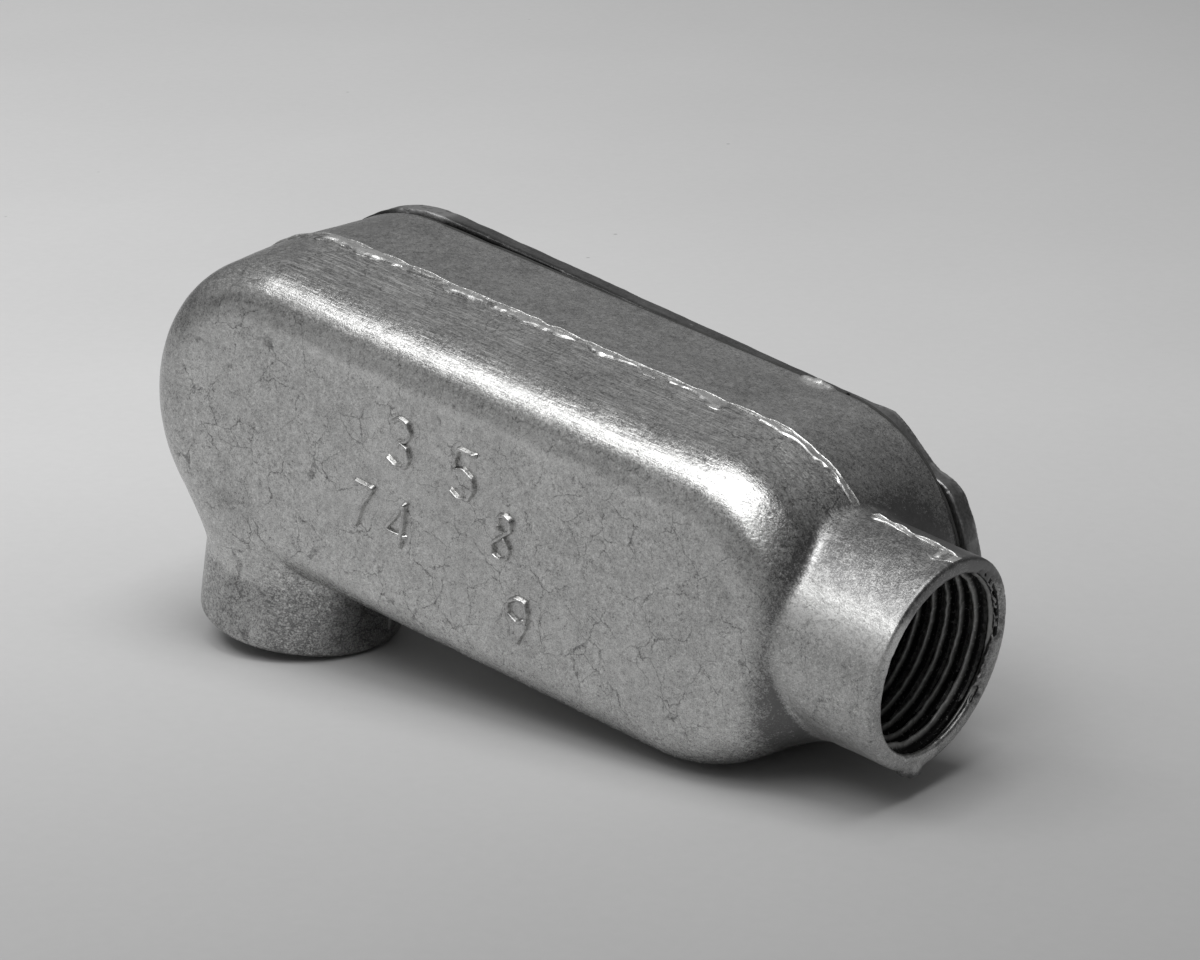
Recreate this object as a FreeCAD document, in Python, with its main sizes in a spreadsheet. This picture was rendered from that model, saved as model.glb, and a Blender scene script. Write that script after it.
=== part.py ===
"""Cast conduit body for half-inch conduit: a long round-ended box with one hub on its end and one on its
side, a flat back, and a screwed cover over the open front.

The frame: X runs out of the end hub along its axis, Z is up and opposite to the side hub, and Y runs from the
flat back to the cover. The origin is the centre of the end hub's mouth. Sizes are in millimetres and degrees.
"""

import FreeCAD, Part
import math
import os
import re

import Sketcher
from FreeCAD import Placement, Rotation, Vector

DIMENSIONS = {
    # Outline of the casting at its mould parting plane, which stands a little in front of the hub axes
    "arc_centre_distance": 60.4,
    "parting_half_height": 18.9,
    "parting_offset": 2.0,
    "parting_to_back": 14.8,
    "parting_to_rim": 14.4,
    "centre_drop": 1.6,
    "back_draft": 4.5,
    "front_draft": 0.7,
    "back_rounding": 6.0,
    # Hollow for the wires
    "side_wall": 2.5,
    "back_wall": 2.6,
    "cavity_draft": 1.5,
    "cavity_rounding": 3.0,
    # Hubs, each with a plain bore at the thread's major radius and a shoulder that stops the conduit
    "bore_radius": 10.7,
    "end_hub_wall": 1.45,
    "end_hub_reach": 8.7,
    "end_hub_blend": 1.5,
    "side_hub_wall": 1.3,
    "side_hub_drop": 29.7,
    "side_hub_blend": 1.5,
    "collar_wall": 1.2,
    "collar_rise": 4.6,
    "collar_margin": 0.4,
    "thread_length": 13.0,
    "shoulder_thickness": 3.2,
    "throat_radius": 8.0,
    "throat_rounding": 1.0,
    "mouth_rounding": 0.4,
    # Bosses under the cover screws
    "boss_radius": 3.9,
    "boss_inset": 3.0,
    "boss_floor": 1.8,
    # Cover, gasket and screws
    "gasket_thickness": 0.8,
    "gasket_inset": 0.7,
    "cover_thickness": 2.6,
    "cover_overhang": 0.3,
    "cover_rounding": 0.8,
    "screw_radius": 2.08,
    "screw_grip": 4.6,
    "screw_tip_clearance": 0.4,
    "tapped_clearance": 0.05,
    "passing_clearance": 0.25,
    "head_radius": 4.0,
    "head_height": 2.2,
    "head_rounding": 0.9,
    "slot_width": 1.1,
    "slot_depth": 1.0,
    "seat_depth": 0.6,
    "seat_clearance": 0.4,
}

SAME = 0.001  # how near two places count as one when edges are picked
EDGE_POINTS = 9  # how many points of an edge are looked at

doc = FreeCAD.newDocument("conduit_body")
sheet = doc.addObject("Spreadsheet::Sheet", "Dimensions")
for row, (alias, size) in enumerate(DIMENSIONS.items(), start=1):
    sheet.set(f"A{row}", alias)
    sheet.set(f"B{row}", str(size))
    sheet.setAlias(f"B{row}", alias)
doc.recompute()


def of(formula):
    """A formula in the sheet's words as an expression: each word gets the sheet's name in front."""
    names = "|".join(DIMENSIONS)
    return re.sub(rf"\b({names})\b", r"Dimensions.\1", formula)


def value(formula):
    """A formula worked out as a plain number."""
    answer = sheet.evalExpression(of(formula))
    return float(getattr(answer, "Value", answer))


# Places that several pieces share
HUB_SIDE_ARC = "(end_hub_reach + parting_half_height)"
FAR_ARC = f"({HUB_SIDE_ARC} + arc_centre_distance)"
BACK_PLANE = "(parting_offset - parting_to_back)"
RIM_PLANE = "(parting_offset + parting_to_rim)"
RIM_HALF_HEIGHT = "(parting_half_height - parting_to_rim * tan(front_draft))"
CAVITY_HALF_HEIGHT = f"({RIM_HALF_HEIGHT} - side_wall)"
END_HUB_RADIUS = "(bore_radius + end_hub_wall)"
SIDE_HUB_RADIUS = "(bore_radius + side_hub_wall)"
COLLAR_RADIUS = "(bore_radius + collar_wall)"
BOSS_REACH = f"({CAVITY_HALF_HEIGHT} - boss_inset)"
COVER_PLANE = f"({RIM_PLANE} + gasket_thickness)"
COVER_FACE = f"({COVER_PLANE} + cover_thickness)"
SCREW_SEAT = f"({COVER_FACE} - seat_depth)"
SCREW_HOLE_DEPTH = "(screw_grip + screw_tip_clearance)"
SCREWS = {
    "cover_screw_hub_end": f"({HUB_SIDE_ARC} - {BOSS_REACH})",
    "cover_screw_far_end": f"({FAR_ARC} + {BOSS_REACH})",
}
# How deep each hub's inner end lies from its mouth: past its shoulder, and past the boss or wall beside it
SHOULDER_END = "thread_length + shoulder_thickness"
PAST_BOSS = f"{SCREWS['cover_screw_hub_end']} + boss_radius + collar_margin"
PAST_WALL = f"side_hub_drop - centre_drop - {CAVITY_HALF_HEIGHT} + collar_rise"
END_COLLAR_DEPTH = f"max({SHOULDER_END}; {PAST_BOSS})"
SIDE_COLLAR_DEPTH = f"max({SHOULDER_END}; {PAST_WALL})"


def new_body(name):
    """An empty PartDesign body whose label names its file."""
    body = doc.addObject("PartDesign::Body", name)
    body.Label = name
    return body


def sketch_on(body, name, plane, offset):
    """A sketch on one of the body's origin planes, moved along the plane's normal by a formula."""
    origin_plane = next(f for f in body.Origin.OriginFeatures if f.Role == plane)
    sketch = body.newObject("Sketcher::SketchObject", name)
    sketch.AttachmentSupport = (origin_plane, [""])
    sketch.MapMode = "FlatFace"
    sketch.AttachmentOffset = Placement(Vector(0, 0, 0), Rotation())
    sketch.setExpression(".AttachmentOffset.Base.z", of(offset))
    return sketch


def hold(sketch, kind, *where, name, size):
    """A named dimension in a sketch, bound to a formula."""
    index = sketch.addConstraint(Sketcher.Constraint(kind, *where, value(size)))
    sketch.renameConstraint(index, name)
    sketch.setExpression(f"Constraints.{name}", of(size))


def add_circle(sketch, tag, radius, behind=None, below=None):
    """A circle whose centre is left of the sketch origin by behind and below it by below."""
    centre = Vector(-value(behind) if behind else 0, -value(below) if below else 0, 0)
    circle = sketch.addGeometry(Part.Circle(centre, Vector(0, 0, 1), value(radius)), False)
    hold(sketch, "Radius", circle, name=f"radius_{tag}", size=radius)
    if behind:
        hold(sketch, "DistanceX", circle, 3, -1, 1, name=f"behind_{tag}", size=behind)
    else:
        sketch.addConstraint(Sketcher.Constraint("PointOnObject", circle, 3, -2))
    if below:
        hold(sketch, "DistanceY", circle, 3, -1, 1, name=f"below_{tag}", size=below)
    else:
        sketch.addConstraint(Sketcher.Constraint("PointOnObject", circle, 3, -1))


def add_outline(sketch, tag, half_height):
    """The casting's round-ended outline at some half height: two straight runs joined by half circles."""
    near_x, far_x, middle = -value(HUB_SIDE_ARC), -value(FAR_ARC), -value("centre_drop")
    radius, up, quarter = value(half_height), Vector(0, 0, 1), math.pi / 2
    near_circle = Part.Circle(Vector(near_x, middle, 0), up, radius)
    far_circle = Part.Circle(Vector(far_x, middle, 0), up, radius)
    near = sketch.addGeometry(Part.ArcOfCircle(near_circle, -quarter, quarter), False)
    top_ends = (Vector(near_x, middle + radius, 0), Vector(far_x, middle + radius, 0))
    top = sketch.addGeometry(Part.LineSegment(*top_ends), False)
    far = sketch.addGeometry(Part.ArcOfCircle(far_circle, quarter, 3 * quarter), False)
    bottom_ends = (Vector(far_x, middle - radius, 0), Vector(near_x, middle - radius, 0))
    bottom = sketch.addGeometry(Part.LineSegment(*bottom_ends), False)
    for first, second in ((near, top), (top, far), (far, bottom), (bottom, near)):
        sketch.addConstraint(Sketcher.Constraint("Tangent", first, 2, second, 1))
    sketch.addConstraint(Sketcher.Constraint("Horizontal", top))
    hold(sketch, "Radius", near, name=f"half_height_{tag}", size=half_height)
    hold(sketch, "DistanceX", far, 3, near, 3, name=f"straight_{tag}", size="arc_centre_distance")
    hold(sketch, "DistanceX", near, 3, -1, 1, name=f"behind_{tag}", size=HUB_SIDE_ARC)
    hold(sketch, "DistanceY", near, 3, -1, 1, name=f"below_{tag}", size="centre_drop")


def add_screw_circles(sketch, radius):
    """A circle on each cover screw's axis, in a sketch across those axes."""
    for name, place in SCREWS.items():
        add_circle(sketch, name, radius, behind=place, below="centre_drop")


def add_slot(sketch, length, width):
    """A rectangle of that length and width, centred on the sketch's origin."""
    half_length, half_width = value(length) / 2, value(width) / 2
    corners = [
        Vector(-half_length, -half_width, 0),
        Vector(half_length, -half_width, 0),
        Vector(half_length, half_width, 0),
        Vector(-half_length, half_width, 0),
    ]
    sides = [sketch.addGeometry(Part.LineSegment(corners[i - 1], corners[i]), False) for i in range(4)]
    for i in range(4):
        sketch.addConstraint(Sketcher.Constraint("Coincident", sides[i - 1], 2, sides[i], 1))
    for level, upright in ((1, 0), (3, 2)):
        sketch.addConstraint(Sketcher.Constraint("Horizontal", sides[level]))
        sketch.addConstraint(Sketcher.Constraint("Vertical", sides[upright]))
    sketch.addConstraint(Sketcher.Constraint("Symmetric", sides[1], 1, sides[3], 1, -1, 1))
    hold(sketch, "DistanceX", sides[1], 1, sides[1], 2, name="slot_length", size=length)
    hold(sketch, "DistanceY", sides[2], 1, sides[2], 2, name="slot_width", size=width)


def feature(body, kind, name, sketch, length, taper=None, reverse=False):
    """A pad or pocket of a sketch, its length and draft bound to formulas. It becomes the body's tip."""
    before = body.Tip.Shape.Volume if body.Tip else 0.0
    made = body.newObject(f"PartDesign::{kind}", name)
    made.Profile = sketch
    made.Reversed = reverse
    made.setExpression("Length", of(length))
    if taper:
        made.setExpression("TaperAngle", of(taper))
    sketch.Visibility = False
    doc.recompute()
    gained = made.Shape.Volume - before
    if (gained > 0) != (kind == "Pad"):
        raise RuntimeError(f"{name} changed the volume by {gained:.3f} mm3")
    return made


def round_edges(body, name, radius, wanted):
    """A fillet on the edges of the body's tip for which wanted(edge) is true."""
    base = body.Tip
    edges = [f"Edge{i}" for i, edge in enumerate(base.Shape.Edges, start=1) if wanted(edge)]
    fillet = body.newObject("PartDesign::Fillet", name)
    fillet.Base = (base, edges)
    fillet.setExpression("Radius", of(radius))
    doc.recompute()
    return fillet


def in_plane(axis, place):
    """A test that an edge lies in the plane where the axis's coordinate has that value."""

    def wanted(edge):
        return all(abs(getattr(point, axis) - place) < SAME for point in edge.discretize(EDGE_POINTS))

    return wanted


def around_axis(axis, centre, radius):
    """A test that an edge winds round a cylinder on that axis, not straight along it nor flat across it."""

    def wanted(edge):
        points = edge.discretize(EDGE_POINTS)
        along = [getattr(point, axis) for point in points]
        spokes = [point - centre for point in points]
        for spoke in spokes:
            setattr(spoke, axis, 0)
        on_wall = all(abs(spoke.Length - radius) < 10 * SAME for spoke in spokes)
        turns = max((spoke - spokes[0]).Length for spoke in spokes) > 10 * SAME
        return on_wall and turns and max(along) - min(along) > 10 * SAME

    return wanted


def ring_in_plane(axis, place, radius):
    """A test that an edge is part of a circle of that radius in the plane across the axis at that place."""
    flat = in_plane(axis, place)
    return lambda edge: flat(edge) and abs(getattr(edge.Curve, "Radius", 0) - radius) < SAME


def any_of(tests):
    """A test that an edge passes at least one of the tests."""
    return lambda edge: any(test(edge) for test in tests)


def build_casting():
    """The casting: a drafted box with two hubs, hollowed from the front, with screw bosses and two bores."""
    body = new_body("body_casting")
    add_box(body)
    add_hubs(body)
    hollow_out(body)
    add_collars(body)
    add_bosses(body)
    cut_bores(body)
    return body


def add_box(body):
    """Two halves that narrow with the mould's draft from the parting plane, rounded round the flat back."""
    outline = sketch_on(body, "outline_sketch", "XZ_Plane", "-parting_offset")
    add_outline(outline, "parting", "parting_half_height")
    feature(body, "Pad", "back_half", outline, "parting_to_back", taper="-back_draft")
    feature(body, "Pad", "front_half", outline, "parting_to_rim", taper="-front_draft", reverse=True)
    round_edges(body, "back_edge", "back_rounding", in_plane("y", value(BACK_PLANE)))


def add_hubs(body):
    """The two hubs, solid at first, blended into the box where they meet it."""
    end_mouth = sketch_on(body, "end_hub_sketch", "YZ_Plane", "0")
    add_circle(end_mouth, "hub", END_HUB_RADIUS)
    feature(body, "Pad", "end_hub", end_mouth, HUB_SIDE_ARC, reverse=True)
    side_mouth = sketch_on(body, "side_hub_sketch", "XY_Plane", "-side_hub_drop")
    add_circle(side_mouth, "hub", SIDE_HUB_RADIUS, behind=FAR_ARC)
    feature(body, "Pad", "side_hub", side_mouth, "side_hub_drop")
    end_root = around_axis("x", Vector(0, 0, 0), value(END_HUB_RADIUS))
    round_edges(body, "end_hub_root", "end_hub_blend", end_root)
    side_root = around_axis("z", Vector(-value(FAR_ARC), 0, 0), value(SIDE_HUB_RADIUS))
    round_edges(body, "side_hub_root", "side_hub_blend", side_root)


def hollow_out(body):
    """The hollow for the wires, open at the rim and rounded along its floor."""
    opening = sketch_on(body, "cavity_sketch", "XZ_Plane", f"-{RIM_PLANE}")
    add_outline(opening, "cavity", CAVITY_HALF_HEIGHT)
    depth = f"{RIM_PLANE} - {BACK_PLANE} - back_wall"
    feature(body, "Pocket", "cavity", opening, depth, taper="-cavity_draft", reverse=True)
    floor = in_plane("y", value(f"{BACK_PLANE} + back_wall"))
    round_edges(body, "cavity_floor", "cavity_rounding", floor)


def add_collars(body):
    """The hubs' inner ends, which start within the box's wall and stand into the hollow."""
    end_start = "(end_hub_reach + side_wall / 2)"
    end_collar = sketch_on(body, "end_collar_sketch", "YZ_Plane", f"-{end_start}")
    add_circle(end_collar, "collar", COLLAR_RADIUS)
    feature(body, "Pad", "end_collar", end_collar, f"{END_COLLAR_DEPTH} - {end_start}", reverse=True)
    side_start = "(side_hub_drop - centre_drop - parting_half_height + side_wall / 2)"
    side_collar = sketch_on(body, "side_collar_sketch", "XY_Plane", f"{side_start} - side_hub_drop")
    add_circle(side_collar, "collar", COLLAR_RADIUS, behind=FAR_ARC)
    feature(body, "Pad", "side_collar", side_collar, f"{SIDE_COLLAR_DEPTH} - {side_start}")


def add_bosses(body):
    """The bosses under the rim with the blind holes that the cover screws cut their thread in."""
    bosses = sketch_on(body, "boss_sketch", "XZ_Plane", f"-{RIM_PLANE}")
    add_screw_circles(bosses, "boss_radius")
    feature(body, "Pad", "bosses", bosses, f"{SCREW_HOLE_DEPTH} + boss_floor")
    holes = sketch_on(body, "screw_hole_sketch", "XZ_Plane", f"-{RIM_PLANE}")
    add_screw_circles(holes, "screw_radius + tapped_clearance")
    feature(body, "Pocket", "screw_holes", holes, SCREW_HOLE_DEPTH, reverse=True)


def cut_bores(body):
    """In each hub the bore for the conduit's thread, the shoulder that stops it and the rounded throat."""
    for hub, plane, offset, behind, depth, flip in (
        ("end_hub", "YZ_Plane", "0", None, END_COLLAR_DEPTH, False),
        ("side_hub", "XY_Plane", "-side_hub_drop", FAR_ARC, SIDE_COLLAR_DEPTH, True),
    ):
        bore = sketch_on(body, f"{hub}_bore_sketch", plane, offset)
        add_circle(bore, "bore", "bore_radius", behind=behind)
        feature(body, "Pocket", f"{hub}_bore", bore, "thread_length", reverse=flip)
        throat = sketch_on(body, f"{hub}_throat_sketch", plane, offset)
        add_circle(throat, "throat", "throat_radius", behind=behind)
        feature(body, "Pocket", f"{hub}_throat", throat, f"{depth} + collar_margin", reverse=flip)
    throat_radius = value("throat_radius")
    lips = (
        ring_in_plane("x", -value(END_COLLAR_DEPTH), throat_radius),
        ring_in_plane("x", -value("thread_length"), throat_radius),
        ring_in_plane("z", value(f"{SIDE_COLLAR_DEPTH} - side_hub_drop"), throat_radius),
        ring_in_plane("z", value("thread_length - side_hub_drop"), throat_radius),
    )
    round_edges(body, "throat_edges", "throat_rounding", any_of(lips))
    mouths = (
        ring_in_plane("x", 0, value(END_HUB_RADIUS)),
        ring_in_plane("z", -value("side_hub_drop"), value(SIDE_HUB_RADIUS)),
    )
    round_edges(body, "mouth_edges", "mouth_rounding", any_of(mouths))


def build_gasket():
    """The gasket: a thin ring on the casting's rim with an ear round each screw."""
    body = new_body("cover_gasket")
    ring = sketch_on(body, "ring_sketch", "XZ_Plane", f"-{RIM_PLANE}")
    add_outline(ring, "outer", f"{RIM_HALF_HEIGHT} - gasket_inset")
    add_outline(ring, "inner", CAVITY_HALF_HEIGHT)
    feature(body, "Pad", "ring", ring, "gasket_thickness", reverse=True)
    ears = sketch_on(body, "ear_sketch", "XZ_Plane", f"-{RIM_PLANE}")
    add_screw_circles(ears, "boss_radius")
    feature(body, "Pad", "ears", ears, "gasket_thickness", reverse=True)
    pierce(body, "gasket_thickness", RIM_PLANE)
    return body


def build_cover():
    """The cover: a flat plate with a rounded front edge and a shallow round seat under each screw head."""
    body = new_body("cover_plate")
    plate = sketch_on(body, "plate_sketch", "XZ_Plane", f"-{COVER_PLANE}")
    add_outline(plate, "plate", f"{RIM_HALF_HEIGHT} + cover_overhang")
    feature(body, "Pad", "plate", plate, "cover_thickness", reverse=True)
    round_edges(body, "plate_edge", "cover_rounding", in_plane("y", value(COVER_FACE)))
    seats = sketch_on(body, "seat_sketch", "XZ_Plane", f"-{COVER_FACE}")
    add_screw_circles(seats, "head_radius + seat_clearance")
    feature(body, "Pocket", "seats", seats, "seat_depth", reverse=True)
    pierce(body, "cover_thickness", COVER_PLANE)
    return body


def pierce(body, thickness, plane):
    """The screws' clearance holes through a flat piece that starts at a plane in front of the hub axes."""
    holes = sketch_on(body, "hole_sketch", "XZ_Plane", f"-{plane}")
    add_screw_circles(holes, "screw_radius + passing_clearance")
    feature(body, "Pocket", "screw_passages", holes, thickness)


def build_screw(name, place):
    """A cover screw: a slotted round head on a plain shank of the thread's outer size, set in its seat."""
    body = new_body(name)
    head = sketch_on(body, "head_sketch", "XZ_Plane", "0")
    add_circle(head, "head", "head_radius")
    feature(body, "Pad", "head", head, "head_height", reverse=True)
    round_edges(body, "head_edge", "head_rounding", in_plane("y", value("head_height")))
    shank = sketch_on(body, "shank_sketch", "XZ_Plane", "0")
    add_circle(shank, "shank", "screw_radius")
    length = "cover_thickness - seat_depth + gasket_thickness + screw_grip"
    feature(body, "Pad", "shank", shank, length)
    slot = sketch_on(body, "slot_sketch", "XZ_Plane", "-head_height")
    add_slot(slot, "2 * (head_radius + seat_clearance)", "slot_width")
    feature(body, "Pocket", "slot", slot, "slot_depth", reverse=True)
    body.setExpression(".Placement.Base.x", of(f"-{place}"))
    body.setExpression(".Placement.Base.y", of(SCREW_SEAT))
    body.setExpression(".Placement.Base.z", of("-centre_drop"))
    doc.recompute()
    return body


def export(bodies):
    """Checks every object of the document and each piece's shape, then writes one STEP file for each."""
    failed = [o.Label for o in doc.Objects if "Invalid" in o.State or "Error" in o.State]
    if failed:
        raise RuntimeError(f"these objects failed to compute: {failed}")
    for body in bodies:
        if body.Shape.isNull() or not body.Shape.isValid() or len(body.Shape.Solids) != 1:
            raise RuntimeError(f"{body.Label} isn't one valid solid")
    os.makedirs("parts", exist_ok=True)
    for body in bodies:
        body.Shape.exportStep(f"parts/{body.Label}.step")
        print(f"{body.Label}: {body.Shape.Volume / 1000:.2f} cm3")


pieces = [build_casting(), build_gasket(), build_cover()]
pieces += [build_screw(name, place) for name, place in SCREWS.items()]
export(pieces)
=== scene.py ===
"""Old cast conduit body, in the order in which it is made and put together: the casting, the flash and
figures on it, the threads, the gasket, the cover and its screws, and last the floor, lights and camera.
"""

import math

import bpy
import numpy as np
import openvdb
from mathutils import Matrix, Vector


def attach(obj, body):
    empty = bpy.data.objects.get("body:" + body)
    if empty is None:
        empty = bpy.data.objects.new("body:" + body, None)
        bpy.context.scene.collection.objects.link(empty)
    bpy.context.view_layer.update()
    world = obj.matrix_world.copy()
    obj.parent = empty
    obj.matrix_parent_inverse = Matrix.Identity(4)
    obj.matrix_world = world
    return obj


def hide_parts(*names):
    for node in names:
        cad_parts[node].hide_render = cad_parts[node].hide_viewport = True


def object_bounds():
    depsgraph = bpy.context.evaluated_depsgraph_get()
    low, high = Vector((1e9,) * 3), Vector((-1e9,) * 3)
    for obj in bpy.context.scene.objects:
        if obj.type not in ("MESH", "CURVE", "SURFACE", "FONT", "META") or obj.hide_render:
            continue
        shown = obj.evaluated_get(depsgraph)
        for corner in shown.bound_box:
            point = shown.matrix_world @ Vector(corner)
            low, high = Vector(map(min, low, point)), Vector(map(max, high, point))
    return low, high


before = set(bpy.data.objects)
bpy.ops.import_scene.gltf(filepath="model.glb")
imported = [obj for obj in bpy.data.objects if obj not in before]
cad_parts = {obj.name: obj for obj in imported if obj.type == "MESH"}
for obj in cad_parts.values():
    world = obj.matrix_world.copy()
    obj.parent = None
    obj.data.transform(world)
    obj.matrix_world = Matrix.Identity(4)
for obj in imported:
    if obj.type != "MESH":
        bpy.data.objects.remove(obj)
cad_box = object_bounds()


# The casting: a round-ended aluminium box with a hub on its end and one on its side, hollow for the wires.
# It is poured in a two-part mould, so both halves narrow away from the parting plane, and cleaned up by hand,
# which leaves its faces a little uneven and its edges soft. Sizes and places here are in millimetres.
MM = 0.001
HUB_ARC_X = -27.6
FAR_ARC_X = -88.0
DROP = -1.6
PARTING_Y = 2.0
PARTING_HALF = 18.9
BACK_Y = -12.8
BACK_DRAFT, FRONT_DRAFT, INNER_DRAFT = math.radians(4.5), math.radians(0.7), math.radians(1.5)
BACK_EDGE = 6.0
RIM_Y = 16.4
INNER_HALF = 16.224
INNER_BACK_Y = -10.2
END_HUB = 12.15
SIDE_HUB = 12.0
SIDE_MOUTH_Z = -29.7
COLLAR = 11.9
END_COLLAR_DEPTH, SIDE_COLLAR_DEPTH = 18.7, 16.5
BORE = 10.7
BORE_DEPTH = 13.0
THROAT, END_THROAT_X, SIDE_THROAT_Z = 8.0, -22.0, -8.0
SCREWS_X = (-14.38, -101.22)
BOSS, BOSS_DEPTH = 3.9, 6.8
BOSS_HOLE, BOSS_HOLE_DEPTH = 2.35, 5.0
LIP, LIP_DEPTH = 10.25, 0.9
# Balls of metal, by middle and radius, that make up a drip under the lip and a bruise on the rim's edge
DRIPS = (
    ((-0.7, -1.3, -12.3), 0.95),
    ((-0.5, -0.2, -12.75), 0.55),
    ((-0.8, -2.6, -12.1), 0.7),
    ((-0.9, 0.7, -12.2), 0.5),
)
BRUISES = (((-32.6, 16.0, 16.95), 0.5), ((-31.2, 16.1, 17.05), 0.55), ((-29.9, 16.0, 16.95), 0.5))
# Chips broken out of the lip where the tap ran in: degrees round the mouth, reach from its axis, radius
CHIPS = (
    (62, 10.4, 0.6), (54, 10.6, 0.6), (46, 10.8, 0.65), (39, 11.0, 0.75), (32, 10.8, 0.85),
    (25, 11.1, 0.8), (18, 10.9, 0.85), (11, 11.1, 0.75), (4, 10.6, 0.8), (-34, 10.4, 0.8), (-40, 10.6, 0.6),
    (160, 10.2, 0.4), (250, 10.2, 0.45),
)


def from_axis(x, z, near_x=HUB_ARC_X, near_z=DROP, far_x=FAR_ARC_X, far_z=DROP):
    """Distance from the straight line between two arc centres, as for a shape with two round ends."""
    run_x, run_z = near_x - far_x, near_z - far_z
    share = np.clip(((x - far_x) * run_x + (z - far_z) * run_z) / (run_x**2 + run_z**2), 0, 1)
    return np.hypot(x - far_x - share * run_x, z - far_z - share * run_z)


def meet(a, b, radius):
    """Where both solids are: the larger of two distances, with their outer corner rounded to a radius."""
    over_a, over_b = np.maximum(radius + a, 0), np.maximum(radius + b, 0)
    return np.minimum(-radius, np.maximum(a, b)) + np.hypot(over_a, over_b)


def join(a, b, radius):
    """Where either solid is: the smaller of two distances, with their inner corner filled to a radius."""
    under_a, under_b = np.maximum(radius - a, 0), np.maximum(radius - b, 0)
    return np.maximum(radius, np.minimum(a, b)) - np.hypot(under_a, under_b)


def ease(low, high, x):
    """Runs smoothly from 0 at low to 1 at high: 3t^2 - 2t^3."""
    t = np.clip((x - low) / (high - low), 0, 1)
    return t * t * (3 - 2 * t)


def lumps(points, size, seed):
    """Uneven heights from -1 to 1 at points: random values a size apart in space, smooth in between."""
    values = np.random.default_rng(seed).uniform(-1, 1, (32, 32, 32))
    cell = np.floor(points / size).astype(int)
    t = points / size - cell
    t = t * t * (3 - 2 * t)
    total = 0
    for corner in np.ndindex(2, 2, 2):
        weight = np.prod(np.where(corner, t, 1 - t), axis=-1)
        i, j, k = np.moveaxis((cell + corner) % 32, -1, 0)
        total = total + weight * values[i, j, k]
    return total


def space(low, high, step):
    """Three arrays that hold the x, y and z of a block of points a step apart."""
    axes = [np.arange(a, b, step, dtype=np.float32) for a, b in zip(low, high)]
    return np.meshgrid(*axes, indexing="ij", sparse=True)


def skin_of(field, low, step):
    """The surface where a field of distances is zero, as points in millimetres and faces of four corners."""
    grid = openvdb.FloatGrid(background=float(field.max()))
    grid.copyFromArray(np.ascontiguousarray(field, dtype=np.float32))
    corners, faces = grid.convertToQuads(isovalue=0)
    points = corners.astype(float) * step + np.array(low)
    a, b, c, d = (points[faces[:, k].astype(int)] for k in range(4))
    volume = np.einsum("ij,ij->i", a - points.mean(0), np.cross(c - a, d - b)).sum()
    return points, faces[:, ::-1] if volume < 0 else faces


def make_piece(name, points, faces):
    """A mesh object from points in millimetres and faces that all have the same number of corners."""
    mesh = bpy.data.meshes.new(name)
    count, corners = faces.shape
    mesh.vertices.add(len(points))
    mesh.vertices.foreach_set("co", (points * MM).astype(np.float32).ravel())
    mesh.loops.add(count * corners)
    mesh.loops.foreach_set("vertex_index", faces.astype(np.int32).ravel())
    mesh.polygons.add(count)
    mesh.polygons.foreach_set("loop_start", np.arange(count, dtype=np.int32) * corners)
    mesh.polygons.foreach_set("use_smooth", np.ones(count, dtype=bool))
    mesh.update(calc_edges=True)
    mesh.validate()
    piece = bpy.data.objects.new(name, mesh)
    bpy.context.scene.collection.objects.link(piece)
    return piece


def push_out(piece, height):
    """Moves each point of a piece along its normal by a height in millimetres that depends on its place."""
    count = len(piece.data.vertices)
    places, normals = np.empty(count * 3, np.float32), np.empty(count * 3, np.float32)
    piece.data.vertices.foreach_get("co", places)
    piece.data.vertices.foreach_get("normal", normals)
    places, normals = places.reshape(-1, 3) / MM, normals.reshape(-1, 3)
    places = places + normals * height(places, normals)[:, None]
    piece.data.vertices.foreach_set("co", (places * MM).astype(np.float32).ravel())
    piece.data.update()


def thin_out(piece, triangles):
    """Merges the flattest faces of a piece until it has about that many triangles."""
    count = sum(len(polygon.vertices) - 2 for polygon in piece.data.polygons)
    collapse = piece.modifiers.new("fewer faces", "DECIMATE")
    collapse.ratio = min(1.0, triangles / count)
    shown = piece.evaluated_get(bpy.context.evaluated_depsgraph_get())
    mesh = bpy.data.meshes.new_from_object(shown)
    piece.modifiers.clear()
    piece.data = mesh
    mesh.polygons.foreach_set("use_smooth", np.ones(len(mesh.polygons), dtype=bool))
    mesh.update()


def ball(x, y, z, middle, radius, squeeze=1.0):
    """Distance outside a ball of metal or air. With a squeeze under 1 along X it is longer that way."""
    from_middle = ((x - middle[0]) * squeeze) ** 2 + (y - middle[1]) ** 2 + (z - middle[2]) ** 2
    return np.sqrt(from_middle) - radius


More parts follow.
